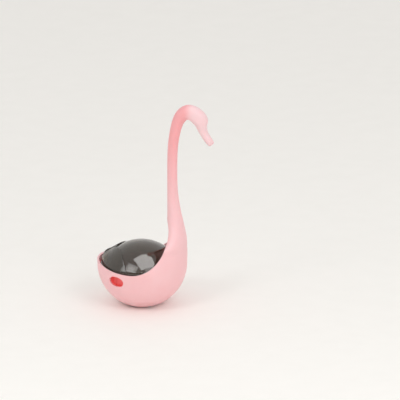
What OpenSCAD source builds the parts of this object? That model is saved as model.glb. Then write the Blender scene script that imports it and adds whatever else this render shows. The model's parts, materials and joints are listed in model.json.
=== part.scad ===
// Treat dispensing tumbler toy with a swan neck and a light in its beak.
// Millimetres, +Z up, +X towards the head; the origin is the middle of the flat foot.

/* [Bowl] */
// Outer diameter of the round bowl
bowl_d = 100; // [92:1:116]
// Diameter of the flat foot that the toy stands on
foot_d = 31; // [28:1:35]
// Wall thickness of the moulded housing
wall = 2; // [1.6:0.1:2.4]
// Diameter of the seam between the housing and the base cover
base_d = 60; // [57:1:64]

/* [Neck and head] */
// Distance of the neck axis in front of the bowl axis
neck_x = 33.9; // [31:0.1:36]
// Diameter of the neck at its slimmest
neck_d = 11.3; // [10.8:0.1:13]
// Height above the bowl centre at which the shoulder has run out into the neck
shoulder_h = 100; // [85:1:110]
// Distance of the top of the arch in front of the bowl axis
crown_x = 52; // [50:0.5:56]
// Height of the middle of the arch above the bowl centre
crown_h = 177; // [165:1:195]
// Half thickness of the head at the top of the arch
head_r = 8.7; // [8:0.1:10]
// Half width of the head across the toy
head_b = 8.6; // [8:0.1:10]
// Reach of the brow knob from the middle of the head
brow_r = 9.8; // [9:0.1:11]
// Half thickness of the beak
beak_r = 4.6; // [4.4:0.1:5.4]
// Diameter of the light opening in the beak tip
aperture_d = 3.4; // [2.6:0.1:4]
// Fullness of the breast in front of the bowl sphere
breast = 1.6; // [0.4:0.1:2.4]

/* [Opening] */
// Distance of the lowest point of the rim behind the bowl axis
rim_x = 6; // [5:0.1:7]
// Depth of the lowest point of the rim below the bowl centre
rim_dip = 1; // [0.6:0.1:1.2]
// Radius of the rim where it sweeps up to the neck
rim_front_r = 38; // [36:0.5:40]
// Radius of the rim where it rises to the tail
rim_tail_r = 172; // [150:1:190]

/* [Lid] */
// Height of the lid dome above the bowl centre
dome_h = 25; // [24:0.5:26]
// Distance between the housing wall and the foot of the dome
dome_gap = 5.4; // [5:0.1:6]
// Distance of the dome axis behind the bowl axis
dome_back = 1; // [0.4:0.1:1.6]
// Wall thickness of the lid
lid_wall = 2; // [1.6:0.1:2.4]
// Distance of the hinge pin in front of the bowl axis
hinge_x = 22; // [21:0.1:22.6]
// Diameter of the hinge pin
pin_d = 2; // [1.6:0.1:2.4]
// Distance of the middle of the wing round behind the dome axis
wing_back = 4.4; // [3.8:0.1:5]
// Distance of the middle of the wing round below that of the dome
wing_drop = 4.8; // [4.2:0.1:5.2]
// Radius of the wing round beyond that of the dome
wing_swell = 3.3; // [3.2:0.1:4]

/* [Treat chamber] */
// Wall thickness of the treat cup
cup_wall = 1.6; // [1.4:0.1:2]
// Distance between the housing and the treat cup
cup_gap = 4.6; // [4.2:0.1:6]
// Width of the treat outlet
outlet_w = 18; // [14:0.5:20]
// Height of the treat outlet
outlet_tall = 12; // [10:0.5:13]
// Direction of the treat outlet around the bowl, from the head
outlet_az = 242.5; // [235:0.5:248]
// Thickness of the outlet shutter
gate_t = 1.6; // [1.2:0.1:2]
// Angle that the outlet shutter slides through
gate_swing = 28; // [26:1:32]

/* [Base and electrics] */
// Floor thickness of the base cover
floor_t = 2.2; // [2:0.1:2.6]
// Radius on which the base screws sit
post_circle = 21; // [20:0.5:22]
// Top height of the counterweight
weight_top = 15; // [13:0.5:15.5]
// Outer radius of the counterweight
weight_r = 33; // [30:0.5:34]
// Diameter of one button cell
cell_d = 11.6; // [11:0.1:12]
// Height of one button cell
cell_h = 5.4; // [5:0.1:5.6]
// Radius of the round circuit board
board_r = 27; // [25.5:0.5:30]
// Distance of the power button in front of the bowl axis
button_x = 20.5; // [20:0.5:22]
// Diameter of the power button
button_d = 6; // [5:0.2:6.4]
// Travel of the power button
button_travel = 0.6; // [0.3:0.1:0.6]
// Diameter of the light module
laser_d = 6; // [5.4:0.1:6.2]
// Length of the light module
laser_l = 11; // [9:0.5:12]

/* [Hidden] */
$fn = 64;

// General clearances
fit = 0.05;
seat_gap = 0.1;
run_gap = 0.3;
step_in = 0.3;
far = 200;

// Bowl and base heights
bowl_r = bowl_d / 2;
foot_r = foot_d / 2;
base_r = base_d / 2;
centre_z = sqrt(pow(bowl_r, 2) - pow(foot_r, 2));
base_edge_h = -sqrt(pow(bowl_r, 2) - pow(base_r, 2));
base_top = centre_z + base_edge_h;
inner_r = bowl_r - wall;

// Neck, head and the rings that the housing is lofted through
neck_r = neck_d / 2;
back_rise = 22;
back_sharp = 8;
side_rise = 30;
side_sharp = 3.3;
breast_scale = 45.6;
bowl_arc = 24;
neck_arc = 12;
bowl_rings = 9;
shoulder_rings = 24;
fine_rings = 12;
spine_step = 0.4;
tip_round = [[0.9, 0.86], [1.5, 0.66]];

// Middle line of the neck and head: place, inner and outer half thickness, half width
spine = [
    [neck_x, shoulder_h, neck_r, neck_r, side_y(shoulder_h)],
    [neck_x, crown_h - 57, neck_r, neck_r, neck_r],
    [neck_x + 1, crown_h - 37, neck_r + 0.1, neck_r + 0.1, neck_r],
    [crown_x - 13.3, crown_h - 16, neck_r + 0.6, neck_r + 0.6, neck_r + 0.5],
    [crown_x - 7.4, crown_h - 4.8, head_r - 1.8, head_r - 0.6, head_b - 1.6],
    [crown_x, crown_h - 1.5, head_r - 1.7, head_r + 1.5, head_b - 0.4],
    [crown_x + 7.2, crown_h - 3.6, head_r - 0.9, head_r + 1.1, head_b],
    [crown_x + 13, crown_h - 10, head_r - 1.2, brow_r, head_b],
    [crown_x + 15, crown_h - 16.5, beak_r + 1.3, beak_r + 1.3, beak_r + 2.4],
    [crown_x + 17.5, crown_h - 24, beak_r - 0.3, beak_r, beak_r + 1],
    [crown_x + 21.2, crown_h - 30, beak_r - 0.5, beak_r - 0.1, beak_r + 0.8],
    [crown_x + 25.2, crown_h - 35.2, beak_r - 0.8, beak_r - 0.6, beak_r + 0.2]
];
spine_end = len(spine) - 1;

// Treat cup levels above the bowl centre
rim_drop = 0.9;
cup_rim_h = -rim_drop;
flange_t = 1.7;
rail_t = 2;
rail_gap = 0.2;
gate_lap = 1;
gate_hi = cup_rim_h - rail_t - rail_gap;
outlet_h = gate_hi - gate_lap - outlet_tall / 2;
gate_lo = outlet_h - outlet_tall / 2 - gate_lap;
cup_floor_h = gate_lo - rail_gap - rail_t;
cup_floor_t = 1.8;
cup_bottom_h = cup_floor_h - cup_floor_t;
cup_bottom_z = centre_z + cup_bottom_h;
cup_r = inner_r - cup_gap;
cup_in = cup_r - cup_wall;
cup_front = cup_r - 5.4;
flange_r = inner_r - 0.4;
corner_in = 3.2;
corner_up = 4;
fillet = 1.5;

// Outlet shutter and its rails
gate_out = cup_in - run_gap;
gate_in = gate_out - gate_t;
lip_out = gate_in - run_gap;
lip_in = lip_out - 1.1;
lip_tall = 1.2;
gate_half = asin((outlet_w / 2 + gate_lap) / gate_out);
gate_end_room = 1.5;
tab_reach = 5;
tab_t = 2.4;
tab_tall = 5;
spout_wall = 1.8;

// Lid levels above the bowl centre
lid_r = inner_r - 1;
lid_shift = 1;
lid_seat_h = cup_rim_h + 0.2;
lid_flange_t = 1.6;
lid_foot_r = inner_r - dome_gap;
dome_rise = dome_h - lid_seat_h;
dome_r = (pow(lid_foot_r, 2) + pow(dome_rise, 2)) / (2 * dome_rise);
dome_base_h = dome_h - dome_r;
dome_x = -dome_back;

// Lid hinge, under the front of the dome
knuckle_r = pin_d / 2 + 1.2;
knuckle_w = 10;
lug_w = 3.5;
lug_gap = 0.25;
lug_room = 0.4;
lug_y = knuckle_w / 2 + lug_gap;
post_w = 3.2;
web_w = 2.8;
lug_cover_r = sqrt(pow(dome_r - lid_wall, 2) - pow(lug_y + lug_w, 2));
hinge_h = dome_base_h + sqrt(pow(lug_cover_r - knuckle_r - lug_room, 2) - pow(hinge_x - dome_x, 2));
lid_end_x = hinge_x + 3;
lid_back_x = hinge_x - 0.5;
lid_front_lift = 3;

// Plan of one wing of the tail grip, from the seam on the dome to the tail
wing_r = lid_r - 2;
wing_steps = 4;
wing_edge = [for (p = [[-9, 47.5], [-14.3, 35], [-19.2, 22.2], [-23.6, 10.6], [-27.8, 4.2],
                       [-32.4, 1], [-37.2, 2.6], [-42, 5], [-49, 9]]) p * bowl_r / 50];

// Neck bulkhead
sheet_t = 2;
plate_x = hinge_x + 6.6;
tongue_x = hinge_x - knuckle_r - 0.4;
ledge_t = 1.8;
wire_hole_r = 2.6;
wire_x = cup_r;
sheet_low_h = hinge_h + 3;
sheet_foot_x = plate_x + 0.5;
sheet_gap = norm([sheet_foot_x + rim_x, rim_front_r - rim_dip - sheet_low_h]) - rim_front_r;
sheet_out_x = rim_front_r + sheet_gap + sheet_t - rim_x;
cavity_arc = 40;
cavity_step = 3;
cavity_low_h = -4;
cavity_high_h = 68;

// Battery door and cells
door_r = cell_d / 2 + 2.8;
lug_reach = 1.7;
door_face_z = 0.6;
door_top_z = 3.6;
ledge_top_z = 1.9;
door_lug_deg = 36;
door_slot_deg = 44;
door_turn = 60;
groove_top_z = door_top_z + rail_gap;
hub_wall = 2.6;
hub_r = door_r + lug_reach + hub_wall;
hub_top_z = groove_top_z + 1.2;
contact_t = 0.4;
tail_w = 3;
cell_z = door_top_z + contact_t + seat_gap;
cell_count = 3;
cell_step = 0.5;
stack_top_z = cell_z + cell_count * cell_h;
tube_in = cell_d / 2 + 0.3;
tube_out = tube_in + 1.6;
tail_x = tube_out + 0.9;
tube_roof_z = stack_top_z + seat_gap + contact_t + seat_gap;
tube_top_z = tube_roof_z + 1.3;
coin_slot = [11, 1.6, 1];

// Base cover bosses, posts and screws
post_r = 3.2;
post_az = [60, 180, 300];
boss_r = 3.8;
boss_top_z = 7;
head_seat_z = 4.4;
head_r_base = 2.6;
head_t = 1.6;
shank_r = 1.25;
shank_l = 12;
pilot_r = shank_r + fit;
lip_wall = 1.5;
lip_low = 2.5;
lip_high = 2.2;
lip_r = sqrt(pow(inner_r, 2) - pow(base_edge_h, 2)) - run_gap;

// Counterweight
weight_gap = 0.4;
weight_step_z = base_top + lip_high + run_gap;
weight_low_r = lip_r - lip_wall - run_gap;
weight_bore_r = hub_r + 0.6;
weight_low_z = floor_t + weight_gap;

// Circuit board
board_z = weight_top + 2.5;
board_t = 1.6;
board_top_z = board_z + board_t;
board_bore_r = tube_out + 0.8;
board_boss_az = [120, 240];
board_boss_r = 2.8;
board_boss_circle = 22;
board_screw_r = 0.9;
board_screw_l = 5;
board_head_r = 1.9;
board_head_t = 1.5;
chip_at = [-16, -9];
chip_size = [5, 4, 1.6];
shaker_at = [-15, 12];
shaker_r = 1.4;
shaker_l = 9;
can_at = [2, 18];
can_r = 2;
can_tall = 2.8;

// Power button and its switch
switch_w = 6;
switch_body = 3.4;
switch_stem_r = 1.7;
switch_stem = 0.9;
switch_low_z = board_z - switch_body - switch_stem;
button_r = button_d / 2;
button_boss_r = button_r + 1.7;
button_boss_z = 8;
button_face_z = 3.8;
button_flange_r = button_r + 1;
button_flange_t = 1;
button_top_z = switch_low_z - button_travel - seat_gap;

// Light module: its axis runs back from the beak tip into the head
tip = spine[spine_end];
laser_tilt = 28;
laser_start = 22;
laser_wall = 0.7;
lens_t = 1;
driver_l = 4;
driver_w = 4.4;
driver_t = 1;

// Leads from the circuit board up the neck to the light module: x and height above the foot
lead_r = 0.6;
lead_y = 0.9;
lead_sides = 8;
lead_steps = 3;
lead_room = 1;
laser_back = [tip[0] - (laser_start + laser_l + driver_l) * sin(laser_tilt),
              centre_z + tip[1] + (laser_start + laser_l + driver_l) * cos(laser_tilt)];
lead_route = [
    [board_r - 3, board_top_z + lead_r + seat_gap],
    [board_r + 3, board_top_z + 1.6],
    [cup_front, cup_bottom_z - 2.7],
    [cup_front + 2.9, cup_bottom_z + 1.3],
    [cup_r - 1.2, cup_bottom_z + 8],
    [wire_x, centre_z - 4],
    [wire_x - 0.4, centre_z + 14],
    [sheet_out_x + lead_r + lead_room, centre_z + rim_front_r - rim_dip],
    [neck_x + 3.4, centre_z + 60],
    [neck_x + 0.8, centre_z + shoulder_h - 8],
    [neck_x, centre_z + shoulder_h + 18],
    [neck_x + 0.7, centre_z + crown_h - 40],
    [crown_x - 13.3, centre_z + crown_h - 16],
    [crown_x - 7, centre_z + crown_h - 4.6],
    [crown_x, centre_z + crown_h - 1.6],
    [laser_back[0] - 2.2, laser_back[1] + 2.4],
    laser_back
];

// Colours
shell_pink = [0.95, 0.74, 0.74];
inner_pink = [0.92, 0.45, 0.45];
smoke = [0.32, 0.31, 0.28, 0.8];
steel = [0.75, 0.75, 0.76];
iron = [0.35, 0.36, 0.38];
board_green = [0.10, 0.36, 0.20];
brass = [0.78, 0.62, 0.30];
black = [0.10, 0.10, 0.11];

// Blend from 0 to 1 with level ends
function smooth(t) = t <= 0 ? 0 : t >= 1 ? 1 : t * t * (3 - 2 * t);

// Front, back and side lines of the bowl and shoulder at height h above the bowl centre
function breast_line(t) = t <= 0 || t >= 1 ? 0 : breast * breast_scale * t * t * pow(1 - t, 4);
function front_x(h) =
    bowl_r + (neck_x + neck_r - bowl_r) * smooth(h / shoulder_h) + breast_line(h / shoulder_h);
function back_x(h) =
    neck_x - neck_r - (bowl_r + neck_x - neck_r) / (1 + pow(max(h, 0) / back_rise, back_sharp));
function side_y(h) = neck_r + (bowl_r - neck_r) / (1 + pow(max(h, 0) / side_rise, side_sharp));
function side_slope(h) = side_y(h + 0.5) - side_y(h - 0.5);

// A ring is [x, h, direction x, direction h, inner reach, outer reach, half width]
function bowl_ring(h, skin) =
    let (r = sqrt(pow(bowl_r - skin, 2) - h * h))
    [0, h, 1, 0, r, r, r];
function shoulder_ring(h, skin) =
    let (half = (front_x(h) - back_x(h)) / 2 - skin)
    let (side = side_y(h) - skin * sqrt(1 + pow(side_slope(h), 2)))
    [(front_x(h) + back_x(h)) / 2, h, 1, 0, half, half, side];

// Smooth curve through a list of points: the point at u and its direction
function clamped(list, i) = list[max(0, min(len(list) - 1, i))];
function curve_at(list, u) =
    let (i = min(floor(u), len(list) - 2))
    let (t = u - i)
    let (a = clamped(list, i - 1))
    let (b = clamped(list, i))
    let (c = clamped(list, i + 1))
    let (d = clamped(list, i + 2))
    b + 0.5 * t * ((c - a) + t * ((2 * a - 5 * b + 4 * c - d) + t * (3 * b - 3 * c + d - a)));
function along(list, u) =
    let (step = 0.05)
    let (way = curve_at(list, min(u + step, len(list) - 1)) - curve_at(list, max(u - step, 0)))
    [way[0], way[1]] / norm([way[0], way[1]]);
function hollow(reach, skin) = skin == 0 ? reach : max(reach - skin, aperture_d / 2);
function spine_ring(u, skin) =
    let (p = curve_at(spine, u))
    let (way = along(spine, u))
    [p[0], p[1], way[1], -way[0], hollow(p[2], skin), hollow(p[3], skin), hollow(p[4], skin)];
function tip_ring(reach, share, skin) =
    let (way = along(spine, spine_end))
    let (size = skin == 0 ? share : 1)
    [tip[0] + way[0] * reach, tip[1] + way[1] * reach, way[1], -way[0],
     hollow(tip[2], skin) * size, hollow(tip[3], skin) * size, hollow(tip[4], skin) * size];

function ring_point(ring, angle) =
    let (reach = cos(angle) > 0 ? ring[4] : ring[5])
    [ring[0] + ring[2] * reach * cos(angle), ring[6] * sin(angle), ring[1] + ring[3] * reach * cos(angle)];

// Rings from the base seam to the fine shoulder, and from there to the beak tip
base_angle = asin(-base_edge_h / bowl_r);
function low_rings(skin) = concat(
    [for (k = [0 : bowl_rings - 1]) bowl_ring(-bowl_r * sin(base_angle * (1 - k / bowl_rings)), skin)],
    [for (k = [0 : fine_rings]) shoulder_ring(shoulder_h * k / shoulder_rings, skin)]
);
function high_rings(skin) = concat(
    [for (k = [fine_rings + 1 : shoulder_rings - 1]) shoulder_ring(shoulder_h * k / shoulder_rings, skin)],
    [for (u = [0 : spine_step : spine_end + 0.01]) spine_ring(min(u, spine_end), skin)],
    [for (end = tip_round) tip_ring(end[0], end[1], skin)]
);

// Loop round the section of one half: out along the outer skin, back along the inner skin
function half_loop(outer, inner, arc) = concat(
    [for (k = [0 : arc]) ring_point(outer, 180 * k / arc)],
    [for (k = [arc : -1 : 0]) ring_point(inner, 180 * k / arc)]
);

// Two triangles for the four corners a, b, c, d
function quad(a, b, c, d) = [[a, b, c], [a, c, d]];

// One half of the housing, from the base seam to the beak tip
module half_housing() {
    outer_low = low_rings(0);
    inner_low = low_rings(wall);
    outer_high = high_rings(0);
    inner_high = high_rings(wall);
    low_n = len(outer_low);
    high_n = len(outer_high);
    low_size = 2 * (bowl_arc + 1);
    high_size = 2 * (neck_arc + 1);
    high_start = low_n * low_size;
    low_last = (low_n - 1) * low_size;
    high_last = high_start + (high_n - 1) * high_size;
    points = concat(
        [for (i = [0 : low_n - 1]) each half_loop(outer_low[i], inner_low[i], bowl_arc)],
        [for (i = [0 : high_n - 1]) each half_loop(outer_high[i], inner_high[i], neck_arc)]
    );
    low_sides = [for (i = [0 : low_n - 2]) for (k = [0 : low_size - 1])
        let (n = (k + 1) % low_size)
        let (a = i * low_size)
        let (b = a + low_size)
        each quad(a + k, b + k, b + n, a + n)];
    high_sides = [for (i = [0 : high_n - 2]) for (k = [0 : high_size - 1])
        let (n = (k + 1) % high_size)
        let (a = high_start + i * high_size)
        let (b = a + high_size)
        each quad(a + k, b + k, b + n, a + n)];
    // Each pair of fine segments meets one segment of the neck
    middle = [for (skin = [0, 1]) for (k = [0 : neck_arc - 1])
        let (a = low_last + skin * (bowl_arc + 1) + 2 * k)
        let (b = high_start + skin * (neck_arc + 1) + k)
        each [[a, b, a + 1], [a + 1, b, b + 1], [a + 1, b + 1, a + 2]]];
    seams = concat(
        quad(low_last + bowl_arc, high_start + neck_arc, high_start + neck_arc + 1, low_last + bowl_arc + 1),
        quad(low_last + low_size - 1, high_start + high_size - 1, high_start, low_last)
    );
    base_end = [for (k = [0 : bowl_arc - 1])
        each quad(k, k + 1, low_size - 2 - k, low_size - 1 - k)];
    tip_end = [for (k = [0 : neck_arc - 1])
        let (a = high_last + k)
        let (b = high_last + high_size - 1 - k)
        each quad(a, b, b - 1, a + 1)];
    translate([0, 0, centre_z])
        polyhedron(points, concat(low_sides, middle, seams, high_sides, base_end, tip_end), convexity = 8);
}

// Side view of the scooped opening, grown by an amount
module scoop_side(grow) {
    intersection() {
        translate([-rim_x, rim_front_r - rim_dip])
            circle(r = rim_front_r + grow);
        translate([-rim_x, -far])
            square([far, 2 * far]);
    }
    intersection() {
        translate([-rim_x, rim_tail_r - rim_dip])
            circle(r = rim_tail_r + grow);
        translate([-rim_x - far, -far])
            square([far, far + rim_tail_r]);
    }
}

// Turns a side view in x and height into a solid across the toy
module across(width) {
    translate([0, width / 2, centre_z])
        rotate([90, 0, 0])
            linear_extrude(width)
                children();
}

// Places a shape drawn round the outlet axis, pointing outwards
module at_outlet() {
    translate([0, 0, centre_z + outlet_h])
        rotate([0, 0, outlet_az])
            rotate([90, 0, 90])
                children();
}

// Round-ended outlet shape
module oblong(w, tall) {
    square([w - tall, tall], center = true);
    for (side = [-1, 1])
        translate([side * (w - tall) / 2, 0])
            circle(d = tall);
}

module outlet_prism(grow, from_r, to_r) {
    at_outlet()
        translate([0, 0, from_r])
            linear_extrude(to_r - from_r)
                oblong(outlet_w + 2 * grow, outlet_tall + 2 * grow);
}

module around(radius, angles) {
    for (az = angles)
        rotate([0, 0, az])
            translate([radius, 0, 0])
                children();
}

module left_housing() {
    color(shell_pink)
        difference() {
            half_housing();
            across(far)
                scoop_side(0);
        }
}

module right_housing() {
    color(shell_pink)
        difference() {
            mirror([0, 1, 0])
                half_housing();
            across(far)
                scoop_side(0);
            outlet_prism(0, inner_r / 2, bowl_r + wall);
        }
}

// Closed solid that fills the housing between two heights, kept off its wall
module cavity() {
    rings = [for (h = [cavity_low_h : cavity_step : cavity_high_h])
        h < 0 ? bowl_ring(h, wall + run_gap) : shoulder_ring(h, wall + run_gap)];
    n = len(rings);
    points = [for (ring = rings) for (k = [0 : cavity_arc - 1]) ring_point(ring, 360 * k / cavity_arc)];
    sides = [for (i = [0 : n - 2]) for (k = [0 : cavity_arc - 1])
        let (next = (k + 1) % cavity_arc)
        let (a = i * cavity_arc)
        let (b = a + cavity_arc)
        each quad(a + k, b + k, b + next, a + next)];
    bottom = [for (k = [1 : cavity_arc - 2]) [0, k, k + 1]];
    top = [for (k = [1 : cavity_arc - 2])
        [(n - 1) * cavity_arc, (n - 1) * cavity_arc + k + 1, (n - 1) * cavity_arc + k]];
    translate([0, 0, centre_z])
        polyhedron(points, concat(sides, bottom, top), convexity = 4);
}

module neck_bulkhead() {
    color(shell_pink) {
        difference() {
            intersection() {
                cavity();
                union() {
                    across(far)
                        intersection() {
                            difference() {
                                scoop_side(sheet_gap + sheet_t);
                                scoop_side(sheet_gap);
                            }
                            translate([0, sheet_low_h])
                                square([far, far]);
                        }
                    across(far)
                        translate([plate_x, cup_rim_h])
                            square([sheet_t, sheet_low_h - cup_rim_h + sheet_t / 2]);
                    across(far)
                        translate([plate_x, cup_rim_h])
                            square([far, ledge_t]);
                    across(2 * (lug_y + lug_w) + 1)
                        translate([tongue_x, cup_rim_h + step_in])
                            square([plate_x - tongue_x + sheet_t / 2, ledge_t - 2 * step_in]);
                }
            }
            translate([wire_x, 0, centre_z + cup_rim_h - 1])
                cylinder(r = wire_hole_r, h = ledge_t + 2);
        }
        for (side = [-1, 1])
            hinge_lug(side);
    }
}

// Post with an eye for the hinge pin, standing on the tongue of the bulkhead
module hinge_lug(side) {
    post_tall = hinge_h - cup_rim_h - ledge_t / 2;
    translate([hinge_x, side * (lug_y + lug_w / 2), centre_z + hinge_h])
        rotate([90, 0, 0])
            difference() {
                union() {
                    cylinder(r = knuckle_r, h = lug_w, center = true);
                    translate([-post_w / 2, -post_tall, step_in - lug_w / 2])
                        cube([post_w, post_tall, lug_w - 2 * step_in]);
                }
                cylinder(r = pin_d / 2 + fit, h = lug_w + 1, center = true);
            }
}

module hinge_pin() {
    color(steel)
        at_hinge()
            cylinder(d = pin_d, h = 2 * (lug_y + lug_w), center = true);
}

// Puts its children on the hinge axis, their z along it
module at_hinge() {
    translate([hinge_x, 0, centre_z + hinge_h])
        rotate([90, 0, 0])
            children();
}

module dome_ball(radius) {
    translate([dome_x, 0, centre_z + dome_base_h])
        sphere(r = radius, $fn = 128);
}

// Smoked dome on a flat flange, with a knuckle hung under its front
module lid_dome() {
    color(smoke)
        difference() {
            union() {
                intersection() {
                    difference() {
                        dome_ball(dome_r);
                        dome_ball(dome_r - lid_wall);
                    }
                    lid_room();
                }
                difference() {
                    translate([0, 0, centre_z + lid_seat_h])
                        intersection() {
                            translate([lid_shift, 0, 0])
                                cylinder(r = lid_r, h = lid_flange_t);
                            translate([lid_back_x - step_in - far, -far / 2, -1])
                                cube([far, far, far]);
                        }
                    dome_ball(dome_r - lid_wall / 2);
                }
                at_hinge()
                    cylinder(r = knuckle_r, h = knuckle_w, center = true);
                intersection() {
                    translate([hinge_x - web_w / 2, step_in - knuckle_w / 2, centre_z + hinge_h])
                        cube([web_w, knuckle_w - 2 * step_in, dome_h]);
                    dome_ball(dome_r - lid_wall / 2);
                }
            }
            at_hinge()
                cylinder(r = pin_d / 2 + fit, h = knuckle_w + 1, center = true);
        }
}

// Space that the dome keeps: down to its seat behind the hinge, cut short above the bulkhead in front
module lid_room() {
    translate([lid_back_x - far, -far / 2, centre_z + lid_seat_h + step_in])
        cube([far, far, far]);
    translate([0, -far / 4, centre_z + lid_seat_h + lid_front_lift])
        cube([lid_end_x, far / 2, far]);
}

// Pair of raised wings on the back of the dome, apart at the tail as a finger grip
module tail_grip() {
    color(smoke)
        difference() {
            intersection() {
                translate([dome_x - wing_back, 0, centre_z + dome_base_h - wing_drop])
                    sphere(r = dome_r + wing_swell, $fn = 128);
                translate([0, 0, centre_z + lid_seat_h + lid_flange_t + seat_gap])
                    linear_extrude(far)
                        intersection() {
                            circle(r = wing_r);
                            for (side = [0, 1])
                                mirror([0, side])
                                    wing_plan();
                        }
            }
            dome_ball(dome_r + seat_gap / 2);
        }
}

module wing_plan() {
    edge = [for (i = [0 : len(wing_edge) - 2]) for (k = [0 : wing_steps - 1])
        curve_at(wing_edge, i + k / wing_steps)];
    polygon(concat(edge, [[-far, wing_edge[len(wing_edge) - 1][1]], [-far, far], [wing_edge[0][0], far]]));
}

// Half section of the treat cup, from its axis
module cup_section() {
    polygon([
        [0, cup_bottom_h],
        [cup_r - corner_in, cup_bottom_h],
        [cup_r, cup_bottom_h + corner_up],
        [cup_r, cup_rim_h - flange_t],
        [flange_r, cup_rim_h - flange_t],
        [flange_r, cup_rim_h],
        [cup_in, cup_rim_h],
        [cup_in, cup_floor_h + fillet],
        [cup_in - fillet, cup_floor_h],
        [0, cup_floor_h]
    ]);
}

// One rail that holds the shutter against the cup wall
module gate_rail(low, high, lip_low_h, lip_high_h) {
    start = outlet_az - gate_half - gate_end_room;
    sweep = 2 * gate_half + gate_swing + 2 * gate_end_room;
    translate([0, 0, centre_z])
        rotate([0, 0, start])
            rotate_extrude(angle = sweep) {
                translate([lip_in, low])
                    square([cup_in + fit - lip_in, high - low]);
                translate([lip_in, lip_low_h])
                    square([lip_out - lip_in, lip_high_h - lip_low_h]);
            }
}

module treat_cup() {
    color(inner_pink)
        difference() {
            union() {
                difference() {
                    translate([0, 0, centre_z])
                        rotate_extrude($fn = 128)
                            cup_section();
                    translate([cup_front, -far / 2, 0])
                        cube([far, far, far]);
                }
                intersection() {
                    translate([0, 0, cup_bottom_z])
                        cylinder(r = cup_r - corner_in, h = cup_rim_h - cup_bottom_h);
                    translate([cup_front - cup_wall, -far / 2, 0])
                        cube([cup_wall, far, far]);
                }
                intersection() {
                    outlet_prism(spout_wall, cup_in + cup_wall / 2, bowl_r);
                    translate([0, 0, centre_z])
                        sphere(r = inner_r - run_gap, $fn = 128);
                }
                gate_rail(cup_floor_h - fit, gate_lo - rail_gap, cup_floor_h, gate_lo + lip_tall);
                gate_rail(gate_hi + rail_gap, cup_rim_h, gate_hi - lip_tall, cup_rim_h);
                around(post_circle, post_az)
                    translate([0, 0, boss_top_z + seat_gap])
                        cylinder(r = post_r, h = cup_bottom_z + fit - boss_top_z - seat_gap);
                around(board_boss_circle, board_boss_az)
                    translate([0, 0, board_top_z])
                        cylinder(r = board_boss_r, h = cup_bottom_z + fit - board_top_z);
            }
            outlet_prism(0, gate_out, bowl_r);
            around(post_circle, post_az)
                cylinder(r = pilot_r, h = head_seat_z + shank_l + 1);
            around(board_boss_circle, board_boss_az)
                cylinder(r = board_screw_r + fit, h = board_z + board_screw_l + run_gap);
        }
}

// Curved shutter with a thumb tab, inside the cup wall
module outlet_shutter() {
    color(inner_pink)
        translate([0, 0, centre_z])
            rotate([0, 0, outlet_az]) {
                rotate([0, 0, -gate_half])
                    rotate_extrude(angle = 2 * gate_half)
                        translate([gate_in, gate_lo])
                            square([gate_t, gate_hi - gate_lo]);
                rotate([0, 0, gate_half - 5])
                    translate([gate_in - tab_reach, -tab_t / 2, outlet_h - tab_tall / 2])
                        cube([tab_reach + gate_t / 2, tab_t, tab_tall]);
            }
}

module ball(radius) {
    translate([0, 0, centre_z])
        sphere(r = radius, $fn = 128);
}

// Sector of a ring, centred on an azimuth
module sector(az, degrees, inside, outside, low, high) {
    rotate([0, 0, az - degrees / 2])
        rotate_extrude(angle = degrees)
            translate([inside, low])
                square([outside - inside, high - low]);
}

module base_cover() {
    color(shell_pink)
        difference() {
            union() {
                intersection() {
                    difference() {
                        ball(bowl_r);
                        intersection() {
                            ball(inner_r);
                            translate([-far / 2, -far / 2, floor_t])
                                cube([far, far, far]);
                        }
                    }
                    cylinder(r = far, h = base_top - seat_gap);
                }
                intersection() {
                    union() {
                        translate([0, 0, base_top - lip_low])
                            difference() {
                                cylinder(r = lip_r, h = lip_low + lip_high);
                                translate([0, 0, -1])
                                    cylinder(r = lip_r - lip_wall, h = far);
                            }
                        around(post_circle, post_az)
                            cylinder(r = boss_r, h = boss_top_z);
                        translate([button_x, 0, 0])
                            cylinder(r = button_boss_r, h = button_boss_z);
                    }
                    ball(bowl_r - wall / 2);
                }
                cylinder(r = hub_r, h = hub_top_z);
                cylinder(r = tube_out, h = tube_top_z);
            }
            translate([0, 0, -1])
                cylinder(r = door_r + fit, h = groove_top_z + 1);
            translate([0, 0, ledge_top_z])
                cylinder(r = door_r + lug_reach + rail_gap, h = groove_top_z - ledge_top_z);
            for (az = [door_turn, door_turn + 180])
                sector(az, door_slot_deg, door_r / 2, door_r + lug_reach + run_gap, -1, ledge_top_z + 0.5);
            cylinder(r = tube_in, h = tube_roof_z);
            translate([0, -tail_w / 2 - rail_gap, stack_top_z])
                cube([tube_out + 1, tail_w + 2 * rail_gap, tube_roof_z - stack_top_z]);
            around(post_circle, post_az) {
                translate([0, 0, -1])
                    cylinder(r = head_r_base + 0.2, h = head_seat_z + 1);
                cylinder(r = shank_r + 0.2, h = far);
            }
            translate([button_x, 0, -1])
                cylinder(r = button_r + fit, h = far);
        }
}

// Pan-head screw, pointing up, with its head under z = 0
module screw(head_radius, head_thick, shank, length) {
    translate([0, 0, -head_thick])
        difference() {
            cylinder(r = head_radius, h = head_thick);
            for (turn = [0, 90])
                rotate([0, 0, turn])
                    translate([-head_radius * 0.6, -0.3, -1])
                        cube([head_radius * 1.2, 0.6, 1 + head_thick / 2]);
        }
    cylinder(r = shank, h = length);
}

module base_screws() {
    color(steel)
        around(post_circle, post_az)
            translate([0, 0, head_seat_z])
                screw(head_r_base, head_t, shank_r, shank_l);
}

module battery_door() {
    color(shell_pink)
        difference() {
            union() {
                translate([0, 0, door_face_z])
                    cylinder(r = door_r, h = door_top_z - door_face_z);
                for (az = [0, 180])
                    sector(az, door_lug_deg, door_r / 2, door_r + lug_reach,
                           ledge_top_z + rail_gap, door_top_z);
            }
            translate([-coin_slot[0] / 2, -coin_slot[1] / 2, -1])
                cube([coin_slot[0], coin_slot[1], door_face_z + coin_slot[2] + 1]);
        }
}

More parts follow.
